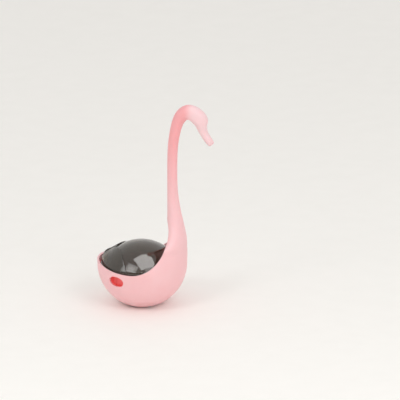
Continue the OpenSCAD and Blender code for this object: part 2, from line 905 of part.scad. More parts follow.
module door_contact() {
    color(brass)
        translate([0, 0, door_top_z])
            cylinder(r = cell_d / 2 - 1, h = contact_t);
}

module button_cells() {
    color(steel)
        for (k = [0 : cell_count - 1])
            translate([0, 0, cell_z + k * cell_h]) {
                cylinder(d = cell_d - 2, h = cell_step + fit);
                translate([0, 0, cell_step])
                    cylinder(d = cell_d, h = cell_h - cell_step - fit);
            }
}

// Plate over the cells with a tail that steps down to the circuit board
module top_contact() {
    color(brass)
        translate([0, 0, stack_top_z + seat_gap]) {
            cylinder(r = cell_d / 2, h = contact_t);
            translate([0, -tail_w / 2, 0])
                cube([tail_x + contact_t, tail_w, contact_t]);
            translate([tail_x, -tail_w / 2, board_top_z - stack_top_z - seat_gap])
                cube([contact_t, tail_w, stack_top_z + seat_gap - board_top_z + contact_t]);
        }
}

// Cast ring that fills the round bottom and rights the toy
module counterweight() {
    color(iron)
        difference() {
            intersection() {
                ball(inner_r - weight_gap);
                union() {
                    translate([0, 0, weight_low_z])
                        cylinder(r = weight_low_r, h = weight_top - weight_low_z);
                    translate([0, 0, weight_step_z])
                        cylinder(r = weight_r, h = weight_top - weight_step_z);
                }
            }
            cylinder(r = weight_bore_r, h = far);
            around(post_circle, post_az)
                cylinder(r = boss_r + 0.5, h = far);
            translate([button_x, 0, 0])
                cylinder(r = button_boss_r + 0.6, h = far);
        }
}

module circuit_board() {
    color(board_green)
        difference() {
            translate([0, 0, board_z])
                cylinder(r = board_r, h = board_t);
            cylinder(r = board_bore_r, h = far);
            around(post_circle, post_az)
                cylinder(r = post_r + 0.3, h = far);
            around(board_boss_circle, board_boss_az)
                cylinder(r = board_screw_r + 0.2, h = far);
        }
}

module board_screws() {
    color(steel)
        around(board_boss_circle, board_boss_az)
            translate([0, 0, board_z])
                screw(board_head_r, board_head_t, board_screw_r, board_screw_l);
}

module driver_chip() {
    color(black)
        translate([chip_at[0], chip_at[1], board_top_z])
            cube(chip_size);
}

module vibration_switch() {
    color(brass)
        translate([shaker_at[0], shaker_at[1], board_top_z + shaker_r])
            rotate([0, 90, 0])
                cylinder(r = shaker_r, h = shaker_l);
}

module capacitor() {
    color(black)
        translate([can_at[0], can_at[1], board_top_z])
            cylinder(r = can_r, h = can_tall);
}

module tact_switch() {
    color(black)
        translate([button_x, 0, 0]) {
            translate([-switch_w / 2, -switch_w / 2, board_z - switch_body])
                cube([switch_w, switch_w, switch_body]);
            translate([0, 0, switch_low_z])
                cylinder(r = switch_stem_r, h = switch_stem + fit);
        }
}

module power_button() {
    color(inner_pink)
        translate([button_x, 0, 0]) {
            translate([0, 0, button_face_z])
                cylinder(r = button_r, h = button_boss_z + rail_gap - button_face_z + fit);
            translate([0, 0, button_boss_z + rail_gap])
                cylinder(r = button_flange_r, h = button_flange_t);
            translate([0, 0, button_boss_z])
                cylinder(r = button_r / 2, h = button_top_z - button_boss_z);
        }
}

// Places a shape on the light axis, measured back from the beak tip
module on_laser_axis(reach) {
    translate([tip[0], 0, centre_z + tip[1]])
        rotate([0, -laser_tilt, 0])
            translate([0, 0, reach])
                children();
}

module laser_barrel() {
    color(brass)
        on_laser_axis(laser_start)
            difference() {
                cylinder(d = laser_d, h = laser_l);
                translate([0, 0, -1])
                    cylinder(r = laser_d / 2 - laser_wall - 0.6, h = lens_t + 3);
                translate([0, 0, -1])
                    cylinder(r = laser_d / 2 - laser_wall, h = lens_t + 1);
            }
}

module laser_lens() {
    color("white")
        on_laser_axis(laser_start)
            cylinder(r = laser_d / 2 - laser_wall - fit, h = lens_t - fit);
}

module laser_driver() {
    color(board_green)
        on_laser_axis(laser_start + laser_l)
            translate([-driver_w / 2, -driver_t / 2, 0])
                cube([driver_w, driver_t, driver_l]);
}

// Round lead swept along the route, shifted across the toy
module lead(shift) {
    count = (len(lead_route) - 1) * lead_steps;
    rings = [for (k = [0 : count])
        let (u = k / lead_steps)
        let (p = curve_at(lead_route, u))
        let (way = along(lead_route, u))
        [for (s = [0 : lead_sides - 1])
            let (angle = 360 * s / lead_sides)
            let (reach = lead_r * cos(angle))
            [p[0] + way[1] * reach, shift + lead_r * sin(angle), p[1] - way[0] * reach]]];
    points = [for (ring = rings) each ring];
    sides = [for (i = [0 : count - 1]) for (s = [0 : lead_sides - 1])
        let (next = (s + 1) % lead_sides)
        let (a = i * lead_sides)
        let (b = a + lead_sides)
        each quad(a + s, b + s, b + next, a + next)];
    first = [for (s = [1 : lead_sides - 2]) [0, s, s + 1]];
    last = [for (s = [1 : lead_sides - 2])
        [count * lead_sides, count * lead_sides + s + 1, count * lead_sides + s]];
    polyhedron(points, concat(sides, first, last), convexity = 6);
}

module red_lead() {
    color("red")
        lead(lead_y);
}

module black_lead() {
    color(black)
        lead(-lead_y);
}

left_housing();
right_housing();
neck_bulkhead();
lid_dome();
tail_grip();
hinge_pin();
treat_cup();
outlet_shutter();
base_cover();
base_screws();
battery_door();
door_contact();
button_cells();
top_contact();
counterweight();
circuit_board();
board_screws();
driver_chip();
vibration_switch();
capacitor();
tact_switch();
power_button();
laser_barrel();
laser_lens();
laser_driver();
red_lead();
black_lead();
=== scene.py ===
"""Dressed model of a swan-necked treat tumbler toy with a smoked lid."""

import json
import logging
import math
from dataclasses import dataclass, field
from enum import Enum

import bmesh
import bpy
from mathutils import Color, Matrix, Vector
from mathutils.geometry import interpolate_bezier, intersect_point_line

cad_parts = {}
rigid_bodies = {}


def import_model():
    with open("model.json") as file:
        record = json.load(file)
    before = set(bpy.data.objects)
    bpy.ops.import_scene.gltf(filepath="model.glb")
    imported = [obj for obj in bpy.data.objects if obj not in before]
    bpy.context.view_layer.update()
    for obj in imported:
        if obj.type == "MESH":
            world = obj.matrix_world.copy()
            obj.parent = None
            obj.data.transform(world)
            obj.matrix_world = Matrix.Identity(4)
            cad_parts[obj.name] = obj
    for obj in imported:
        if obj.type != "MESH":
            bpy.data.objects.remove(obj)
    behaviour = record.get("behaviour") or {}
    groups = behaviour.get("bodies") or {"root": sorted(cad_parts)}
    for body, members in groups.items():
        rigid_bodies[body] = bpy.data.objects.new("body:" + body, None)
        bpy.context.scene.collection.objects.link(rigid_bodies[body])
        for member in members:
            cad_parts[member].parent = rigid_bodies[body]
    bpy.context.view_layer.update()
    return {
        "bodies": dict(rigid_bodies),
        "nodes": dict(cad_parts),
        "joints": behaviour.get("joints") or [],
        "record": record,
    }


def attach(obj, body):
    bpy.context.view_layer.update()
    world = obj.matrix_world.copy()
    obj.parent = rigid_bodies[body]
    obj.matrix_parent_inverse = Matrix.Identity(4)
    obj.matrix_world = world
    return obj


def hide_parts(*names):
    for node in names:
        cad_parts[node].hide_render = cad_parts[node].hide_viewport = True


log = logging.getLogger("treat_toy")

MM = 0.001
FULL_TONE = 255
Colour = tuple[int, int, int]


class Body(Enum):
    """Rigid bodies of the toy that a piece can ride on."""

    HOUSING = "housing"
    LID = "lid"
    SHUTTER = "shutter"
    DOOR = "battery_door"
    BUTTON = "power_button"


class Slot(Enum):
    """Material slots of the toy."""

    SHELL = "shell"
    INNER = "inner"
    SMOKE = "smoke"
    STEEL = "steel"
    BRASS = "brass"
    IRON = "iron"
    BOARD = "board"
    BLACK = "black"
    LENS = "lens"
    RED = "red"


def linear(colour: Colour) -> tuple[float, float, float, float]:
    """Turns a colour as seen on a screen into scene values.

    Args:
        colour: Red, green and blue from 0 to 255.

    Returns:
        Linear red, green, blue and full alpha.
    """
    shade = Color([value / FULL_TONE for value in colour]).from_srgb_to_scene_linear()
    return shade.r, shade.g, shade.b, 1.0


def smooth_share(value: float, zero: float, one: float) -> float:
    """Runs softly from 0 to 1 between two marks.

    Args:
        value: Where to read the run.
        zero: Mark at which it is 0.
        one: Mark at which it is 1.

    Returns:
        The share from 0 to 1.
    """
    share = min(max((value - zero) / (one - zero), 0.0), 1.0)
    return share * share * (3 - 2 * share)


class NodeSheet:
    """Small helper that adds and links nodes in one node tree."""

    SPREAD = (0.3, 0.7)

    def __init__(self, tree: bpy.types.NodeTree) -> None:
        """Keeps the tree that nodes are added to."""
        self.tree = tree

    def add(self, kind: str, **settings: object) -> bpy.types.Node:
        """Adds a node.

        Args:
            kind: Blender's identifier of the node.
            settings: Attributes of the node to set.

        Returns:
            The new node.
        """
        node = self.tree.nodes.new(kind)
        for name, value in settings.items():
            setattr(node, name, value)
        return node

    def wire(self, source: bpy.types.NodeSocket, target: bpy.types.NodeSocket) -> None:
        """Links one socket to another."""
        self.tree.links.new(source, target)

    def noise(
        self, coords: bpy.types.NodeSocket, scale: float, detail: float, rough: float
    ) -> bpy.types.NodeSocket:
        """Adds a noise texture on the given coordinates.

        Args:
            coords: Socket with the coordinates.
            scale: Waves per metre.
            detail: Number of finer layers.
            rough: Weight of the finer layers.

        Returns:
            Socket with the noise.
        """
        node = self.add("ShaderNodeTexNoise")
        node.inputs["Scale"].default_value = scale
        node.inputs["Detail"].default_value = detail
        node.inputs["Roughness"].default_value = rough
        self.wire(coords, node.inputs["Vector"])
        return node.outputs["Fac"]

    def remap(self, value: bpy.types.NodeSocket, low: float, high: float) -> bpy.types.NodeSocket:
        """Spreads a value around 0.5 to the range from low to high.

        Args:
            value: Socket with a value from 0 to 1.
            low: Result at the lower end of the usual spread of a noise.
            high: Result at its upper end.

        Returns:
            Socket with the spread value.
        """
        node = self.add("ShaderNodeMapRange")
        node.inputs["From Min"].default_value = self.SPREAD[0]
        node.inputs["From Max"].default_value = self.SPREAD[1]
        node.inputs["To Min"].default_value = low
        node.inputs["To Max"].default_value = high
        self.wire(value, node.inputs["Value"])
        return node.outputs["Result"]

    def ease(self, value: bpy.types.NodeSocket, zero: float, one: float) -> bpy.types.NodeSocket:
        """Runs a value softly from 0 to 1 between two marks, in either direction.

        Args:
            value: Socket with the value.
            zero: Value at which the result is 0.
            one: Value at which the result is 1.

        Returns:
            Socket with the result.
        """
        node = self.add("ShaderNodeMapRange", interpolation_type="SMOOTHSTEP")
        node.inputs["From Min"].default_value = min(zero, one)
        node.inputs["From Max"].default_value = max(zero, one)
        node.inputs["To Min"].default_value = float(zero > one)
        node.inputs["To Max"].default_value = float(zero < one)
        self.wire(value, node.inputs["Value"])
        return node.outputs["Result"]


class Effects:
    """Shader node groups that several finishes share.

    A noise is given as its waves per metre, its finer layers and their weight. A zone of the swan, where
    shade or a highlight is painted into the colour, is given as the marks in millimetres between which it
    sets in, in height and towards the beak.
    """

    GRAIN = "moulded_grain"
    FLOW = (38.0, 3.0, 0.5)
    SPARK = (2600.0, 2.0, 0.6)
    MARKS = "handling_marks"
    RUB = (160.0, 4.0, 0.65)
    RUB_TURN = (0.3, 0.2, 0.7)
    RUB_STRETCH = (1.0, 9.0, 1.0)
    SMEAR = (55.0, 2.0, 0.5)
    SMEAR_SHARE = (0.4, 1.6)
    # Zones of painted light: painted shade on the slim upper neck and a painted highlight on the head.
    PAINTED_SHADE_AND_HIGHLIGHT = "neck_blush"
    ZONES = (("Neck", (110.0, 205.0), (60.0, 47.0)), ("Head", (165.0, 195.0), (47.0, 62.0)))

    @staticmethod
    def group(
        name: str, colours: tuple[str, ...], values: tuple[str, ...], made: dict[str, str]
    ) -> NodeSheet:
        """Starts a node group with its sockets.

        Args:
            name: Name of the group.
            colours: Names of the inputs that take a colour.
            values: Names of the inputs that take a value.
            made: Names of the outputs, with the kind of their sockets.

        Returns:
            The node sheet of the new group.
        """
        tree = bpy.data.node_groups.new(name, "ShaderNodeTree")
        for colour in colours:
            tree.interface.new_socket(colour, in_out="INPUT", socket_type="NodeSocketColor")
        for value in values:
            tree.interface.new_socket(value, in_out="INPUT", socket_type="NodeSocketFloat")
        for output, kind in made.items():
            tree.interface.new_socket(output, in_out="OUTPUT", socket_type=kind)
        return NodeSheet(tree)

    @classmethod
    def grain(cls) -> bpy.types.NodeTree:
        """Returns the group that varies tone, gloss and height as a spark-eroded mould does."""
        if cls.GRAIN in bpy.data.node_groups:
            return bpy.data.node_groups[cls.GRAIN]
        sheet = cls.group(
            cls.GRAIN,
            ("Light Tone", "Deep Tone"),
            ("Gloss Low", "Gloss High"),
            {"Colour": "NodeSocketColor", "Roughness": "NodeSocketFloat", "Height": "NodeSocketFloat"},
        )
        given = sheet.add("NodeGroupInput")
        made = sheet.add("NodeGroupOutput")
        coords = sheet.add("ShaderNodeTexCoord").outputs["Object"]
        flow = sheet.noise(coords, *cls.FLOW)
        spark = sheet.noise(coords, *cls.SPARK)
        tone = sheet.add("ShaderNodeMix", data_type="RGBA")
        sheet.wire(sheet.remap(flow, 0.0, 1.0), tone.inputs["Factor"])
        sheet.wire(given.outputs["Light Tone"], tone.inputs["A"])
        sheet.wire(given.outputs["Deep Tone"], tone.inputs["B"])
        gloss = sheet.add("ShaderNodeMix", data_type="FLOAT")
        sheet.wire(spark, gloss.inputs["Factor"])
        sheet.wire(given.outputs["Gloss Low"], gloss.inputs["A"])
        sheet.wire(given.outputs["Gloss High"], gloss.inputs["B"])
        sheet.wire(tone.outputs["Result"], made.inputs["Colour"])
        sheet.wire(gloss.outputs["Result"], made.inputs["Roughness"])
        sheet.wire(spark, made.inputs["Height"])
        return sheet.tree

    @classmethod
    def marks(cls) -> bpy.types.NodeTree:
        """Returns the group that gives faint rub marks and smears for glossy or bare surfaces."""
        if cls.MARKS in bpy.data.node_groups:
            return bpy.data.node_groups[cls.MARKS]
        sheet = cls.group(
            cls.MARKS, (), ("Low", "High"), {"Roughness": "NodeSocketFloat", "Mask": "NodeSocketFloat"}
        )
        given = sheet.add("NodeGroupInput")
        made = sheet.add("NodeGroupOutput")
        coords = sheet.add("ShaderNodeTexCoord").outputs["Object"]
        turn = sheet.add("ShaderNodeMapping")
        turn.inputs["Rotation"].default_value = cls.RUB_TURN
        turn.inputs["Scale"].default_value = cls.RUB_STRETCH
        sheet.wire(coords, turn.inputs["Vector"])
        rub = sheet.noise(turn.outputs["Vector"], *cls.RUB)
        smear = sheet.noise(coords, *cls.SMEAR)
        both = sheet.add("ShaderNodeMath", operation="MULTIPLY")
        sheet.wire(rub, both.inputs[0])
        sheet.wire(sheet.remap(smear, *cls.SMEAR_SHARE), both.inputs[1])
        gloss = sheet.add("ShaderNodeMix", data_type="FLOAT")
        sheet.wire(both.outputs["Value"], gloss.inputs["Factor"])
        sheet.wire(given.outputs["Low"], gloss.inputs["A"])
        sheet.wire(given.outputs["High"], gloss.inputs["B"])
        sheet.wire(gloss.outputs["Result"], made.inputs["Roughness"])
        sheet.wire(both.outputs["Value"], made.inputs["Mask"])
        return sheet.tree

    @classmethod
    def painted_shade_and_highlight(cls) -> bpy.types.NodeTree:
        """Returns the group whose masks mark the slim upper neck, where shade is painted in as a deeper
        tone, and the head, where a highlight is painted in as a paler tone.
        """
        if cls.PAINTED_SHADE_AND_HIGHLIGHT in bpy.data.node_groups:
            return bpy.data.node_groups[cls.PAINTED_SHADE_AND_HIGHLIGHT]
        sheet = cls.group(cls.PAINTED_SHADE_AND_HIGHLIGHT, (), (), {zone[0]: "NodeSocketFloat" for zone in cls.ZONES})
        made = sheet.add("NodeGroupOutput")
        parts = sheet.add("ShaderNodeSeparateXYZ")
        sheet.wire(sheet.add("ShaderNodeTexCoord").outputs["Object"], parts.inputs["Vector"])
        for zone, heights, widths in cls.ZONES:
            both = sheet.add("ShaderNodeMath", operation="MULTIPLY")
            sheet.wire(sheet.ease(parts.outputs["Z"], *(v * MM for v in heights)), both.inputs[0])
            sheet.wire(sheet.ease(parts.outputs["X"], *(v * MM for v in widths)), both.inputs[1])
            sheet.wire(both.outputs["Value"], made.inputs[zone])
        return sheet.tree

    @staticmethod
    def place(sheet: NodeSheet, tree: bpy.types.NodeTree, **values: object) -> bpy.types.Node:
        """Places a group in a material.

        Args:
            sheet: Material's node sheet.
            tree: The group.
            values: Values of the group's inputs, with underscores for spaces.

        Returns:
            The group node.
        """
        node = sheet.add("ShaderNodeGroup", node_tree=tree)
        for name, value in values.items():
            node.inputs[name.replace("_", " ")].default_value = value
        return node

    @classmethod
    def tones(
        cls, sheet: NodeSheet, light: Colour, deep: Colour, gloss: tuple[float, float] = (0.0, 0.0)
    ) -> bpy.types.Node:
        """Places the mould's grain between two tones of a finish.

        Args:
            sheet: Material's node sheet.
            light: Lighter tone.
            deep: Deeper tone.
            gloss: Least and greatest roughness, where the grain gives it.

        Returns:
            The group node.
        """
        return cls.place(
            sheet,
            cls.grain(),
            Light_Tone=linear(light),
            Deep_Tone=linear(deep),
            Gloss_Low=gloss[0],
            Gloss_High=gloss[1],
        )

    @staticmethod
    def emboss(
        sheet: NodeSheet, height: bpy.types.NodeSocket, depth: float, strength: float
    ) -> bpy.types.NodeSocket:
        """Turns a height into a bumpy normal.

        Args:
            sheet: Material's node sheet.
            height: Socket with the height from 0 to 1.
            depth: Depth of the grain in millimetres.
            strength: Share of the bump that shows.

        Returns:
            Socket with the normal.
        """
        bump = sheet.add("ShaderNodeBump")
        bump.inputs["Strength"].default_value = strength
        bump.inputs["Distance"].default_value = depth * MM
        sheet.wire(height, bump.inputs["Height"])
        return bump.outputs["Normal"]


def new_material(name: str) -> tuple[bpy.types.Material, NodeSheet, bpy.types.Node]:
    """Makes a material with one Principled shader.

    Args:
        name: Name of the finish.

    Returns:
        The material, its node sheet and the shader node.
    """
    material = bpy.data.materials.new(name)
    material.use_nodes = True
    sheet = NodeSheet(material.node_tree)
    return material, sheet, material.node_tree.nodes["Principled BSDF"]


@dataclass(frozen=True)
class MouldedPlastic:
    """Opaque moulded plastic with a fine eroded grain, with shade and a highlight painted into its colour
    where tones are given by zone.

    Attributes:
        name: Name of the material.
        light: Lighter tone.
        deep: Deeper tone.
        gloss: Least and greatest roughness.
        grain: Depth of the grain in millimetres.
        relief: Share of the grain that shows.
        index: Refractive index of the skin.
        soft: Weight of the light that wanders under the skin.
        soft_depth: How far that light wanders, in millimetres.
        soft_spread: Its spread in red, green and blue.
        painted_tones: Tones painted over the swan by zone, by name: painted shade on the slim upper neck and
            a painted highlight on the head.
    """

    name: str
    light: Colour
    deep: Colour
    gloss: tuple[float, float] = (0.42, 0.52)
    grain: float = 0.02
    relief: float = 0.25
    index: float = 1.46
    soft: float = 0.0
    soft_depth: float = 1.2
    soft_spread: tuple[float, float, float] = (1.0, 0.45, 0.4)
    painted_tones: dict[str, Colour] = field(default_factory=dict)

    def material(self) -> bpy.types.Material:
        """Returns the finish as a material."""
        material, sheet, shader = new_material(self.name)
        group = Effects.tones(sheet, self.light, self.deep, self.gloss)
        colour = group.outputs["Colour"]
        # Painted shade on the slim upper neck and a painted highlight on the head, mixed into the colour by
        # the mask of each zone.
        masks = Effects.place(sheet, Effects.painted_shade_and_highlight()) if self.painted_tones else None
        for zone, zone_colour in self.painted_tones.items():
            tone = sheet.add("ShaderNodeMix", data_type="RGBA")
            sheet.wire(masks.outputs[zone], tone.inputs["Factor"])
            sheet.wire(colour, tone.inputs["A"])
            tone.inputs["B"].default_value = linear(zone_colour)
            colour = tone.outputs["Result"]
        normal = Effects.emboss(sheet, group.outputs["Height"], self.grain, self.relief)
        sheet.wire(colour, shader.inputs["Base Color"])
        sheet.wire(group.outputs["Roughness"], shader.inputs["Roughness"])
        sheet.wire(normal, shader.inputs["Normal"])
        shader.inputs["IOR"].default_value = self.index
        if self.soft > 0:
            shader.inputs["Subsurface Weight"].default_value = self.soft
            shader.inputs["Subsurface Radius"].default_value = self.soft_spread
            shader.inputs["Subsurface Scale"].default_value = self.soft_depth * MM
        return material


@dataclass(frozen=True)
class SmokedPlastic:
    """Clear plastic with a smoke tint and a polished face.

    Attributes:
        name: Name of the material.
        light: Lighter tone.
        deep: Deeper tone.
        gloss: Least and greatest roughness.
        clear: Share of the light that goes through.
        index: Refractive index.
    """

    name: str
    light: Colour
    deep: Colour
    gloss: tuple[float, float] = (0.03, 0.1)
    clear: float = 0.8
    index: float = 1.58

    def material(self) -> bpy.types.Material:
        """Returns the finish as a material."""
        material, sheet, shader = new_material(self.name)
        group = Effects.tones(sheet, self.light, self.deep)
        marks = Effects.place(sheet, Effects.marks(), Low=self.gloss[0], High=self.gloss[1])
        sheet.wire(group.outputs["Colour"], shader.inputs["Base Color"])
        sheet.wire(marks.outputs["Roughness"], shader.inputs["Roughness"])
        shader.inputs["Transmission Weight"].default_value = self.clear
        shader.inputs["IOR"].default_value = self.index
        return material


@dataclass(frozen=True)
class BareMetal:
    """Plated, turned or cast metal with rub marks.

    Attributes:
        name: Name of the material.
        light: Lighter tone.
        deep: Deeper tone.
        gloss: Least and greatest roughness.
        cast: Depth of a cast skin's grain in millimetres, or 0 for a smooth skin.
        relief: Share of that grain that shows.
    """

    name: str
    light: Colour
    deep: Colour
    gloss: tuple[float, float] = (0.22, 0.4)
    cast: float = 0.0
    relief: float = 0.6

    def material(self) -> bpy.types.Material:
        """Returns the finish as a material."""
        material, sheet, shader = new_material(self.name)
        group = Effects.tones(sheet, self.light, self.deep)
        marks = Effects.place(sheet, Effects.marks(), Low=self.gloss[0], High=self.gloss[1])
        sheet.wire(group.outputs["Colour"], shader.inputs["Base Color"])
        sheet.wire(marks.outputs["Roughness"], shader.inputs["Roughness"])
        shader.inputs["Metallic"].default_value = 1.0
        if self.cast > 0:
            normal = Effects.emboss(sheet, group.outputs["Height"], self.cast, self.relief)
            sheet.wire(normal, shader.inputs["Normal"])
        return material


@dataclass(frozen=True)
class LensGlass:
    """Small clear lens.

    Attributes:
        name: Name of the material.
        light: Tint where it is clean.
        deep: Tint under a smear.
        gloss: Least and greatest roughness.
        index: Refractive index.
    """

    name: str
    light: Colour = (245, 232, 232)
    deep: Colour = (236, 220, 220)
    gloss: tuple[float, float] = (0.01, 0.06)
    index: float = 1.5

    def material(self) -> bpy.types.Material:
        """Returns the finish as a material."""
        material, sheet, shader = new_material(self.name)
        marks = Effects.place(sheet, Effects.marks(), Low=self.gloss[0], High=self.gloss[1])
        tint = sheet.add("ShaderNodeMix", data_type="RGBA")
        tint.inputs["A"].default_value = linear(self.light)
        tint.inputs["B"].default_value = linear(self.deep)
        sheet.wire(marks.outputs["Mask"], tint.inputs["Factor"])
        sheet.wire(tint.outputs["Result"], shader.inputs["Base Color"])
        sheet.wire(marks.outputs["Roughness"], shader.inputs["Roughness"])
        shader.inputs["Transmission Weight"].default_value = 1.0
        shader.inputs["IOR"].default_value = self.index
        return material


@dataclass
class Palette:
    """Every finish of the toy, made once and looked up by slot."""

    shell: MouldedPlastic = MouldedPlastic(
        "pale_pink_shell",
        (246, 199, 202),
        (244, 193, 196),
        (0.5, 0.6),
        soft=0.15,
        # The deeper tone on the slim upper neck is painted shade and the paler tone on the head is a painted
        # highlight.
        painted_tones={"Neck": (241, 168, 171), "Head": (242, 206, 209)},
    )
    inner: MouldedPlastic = MouldedPlastic("coral_inner", (253, 124, 122), (250, 116, 115))
    smoke: SmokedPlastic = SmokedPlastic("smoked_lid", (115, 104, 89), (106, 95, 81))
    steel: BareMetal = BareMetal("plated_steel", (205, 205, 207), (180, 181, 184))
    brass: BareMetal = BareMetal("drawn_brass", (214, 184, 112), (190, 156, 86))
    iron: BareMetal = BareMetal("cast_ballast", (112, 113, 116), (84, 85, 88), (0.5, 0.75), 0.12)
    board: MouldedPlastic = MouldedPlastic("solder_mask", (34, 104, 62), (24, 84, 48), (0.22, 0.34), 0.01)
    black: MouldedPlastic = MouldedPlastic("black_moulding", (38, 38, 40), (26, 26, 28), (0.4, 0.55))
    red: MouldedPlastic = MouldedPlastic("red_sleeve", (196, 34, 32), (172, 24, 24), (0.3, 0.4), 0.01)
    lens: LensGlass = LensGlass("polished_lens")
    made: dict[str, bpy.types.Material] = field(default_factory=dict)

    def get(self, slot: Slot) -> bpy.types.Material:
        """Returns the material of a slot, made on first use."""
        if slot.value not in self.made:
            self.made[slot.value] = getattr(self, slot.value).material()
        return self.made[slot.value]


class Bench:
    """Turns solids into dressed pieces.

    Corners within REACH millimetres of each other are merged. Faces that turn by less than FLAT
    degrees are joined, edges that turn by more than SHARP are rounded in STEPS strips, and edges
    that turn by more than SHADED stay crisp in the shading.
    """

    REACH = 0.002
    FLAT = 0.4
    SHARP = 35.0
    STEPS = 3
    SHADED = 38.0

    def __init__(self, frame: dict, palette: Palette) -> None:
        """Keeps the frame and the finishes."""
        self.frame = frame
        self.palette = palette

    def paint(self, node: str, slot: Slot) -> None:
        """Gives a solid of the frame its finish."""
        self.frame["nodes"][node].data.materials.clear()
        self.frame["nodes"][node].data.materials.append(self.palette.get(slot))
        log.info("painted %s", node)

    def welded(self, *nodes: str) -> bmesh.types.BMesh:
        """Copies solids into one mesh and merges their loose corners.

        Args:
            nodes: Names of the solids.

        Returns:
            The merged mesh.
        """
        mesh = bmesh.new()
        for node in nodes:
            mesh.from_mesh(self.frame["nodes"][node].data)
        self.clean(mesh, self.REACH)
        return mesh

    @staticmethod
    def clean(mesh: bmesh.types.BMesh, reach: float) -> None:
        """Merges corners that lie within a reach in millimetres, and removes faces without area."""
        bmesh.ops.remove_doubles(mesh, verts=mesh.verts, dist=reach * MM)
        bmesh.ops.dissolve_degenerate(mesh, edges=mesh.edges, dist=reach * MM)

    def soften(self, mesh: bmesh.types.BMesh, radius: float) -> None:
        """Rounds the sharp edges of a mesh.

        Args:
            mesh: Mesh to change.
            radius: Size of the rounding in millimetres, held down where roundings would meet.
        """
        bmesh.ops.dissolve_limit(
            mesh,
            angle_limit=math.radians(self.FLAT),
            use_dissolve_boundaries=False,
            verts=mesh.verts,
            edges=mesh.edges,
            delimit=set(),
        )
        limit = math.radians(self.SHARP)
        sharp = [e for e in mesh.edges if len(e.link_faces) == 2 and e.calc_face_angle(0.0) > limit]
        bmesh.ops.bevel(
            mesh,
            geom=sharp,
            offset=radius * MM,
            offset_type="OFFSET",
            segments=self.STEPS,
            profile=0.5,
            affect="EDGES",
            material=-1,
            clamp_overlap=True,
            loop_slide=True,
        )

    def finish(
        self, mesh: bmesh.types.BMesh, name: str, body: Body, slot: Slot, stands_for: tuple[str, ...]
    ) -> None:
        """Makes a mesh a shown piece that rides on a body.

        Args:
            mesh: Shape in the row frame; it is freed.
            name: Name of the piece.
            body: Body that the piece moves with.
            slot: Material slot of the piece.
            stands_for: Solids that the piece replaces.
        """
        data = bpy.data.meshes.new(name)
        mesh.to_mesh(data)
        mesh.free()
        data.polygons.foreach_set("use_smooth", [True] * len(data.polygons))
        data.set_sharp_from_angle(angle=math.radians(self.SHADED))
        data.materials.append(self.palette.get(slot))
        piece = bpy.data.objects.new(name, data)
        bpy.context.scene.collection.objects.link(piece)
        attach(piece, body.value)
        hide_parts(*stands_for)
        log.info("made %s with %d faces", name, len(data.polygons))

    def dress(self, node: str, body: Body, slot: Slot, radius: float) -> None:
        """Replaces a solid by a copy with rounded edges.

        Args:
            node: Name of the solid.
            body: Body that the solid moves with.
            slot: Material slot of the piece.
            radius: Size of the rounding in millimetres.
        """
        mesh = self.welded(node)
        self.soften(mesh, radius)
        self.finish(mesh, f"dressed_{node}", body, slot, (node,))


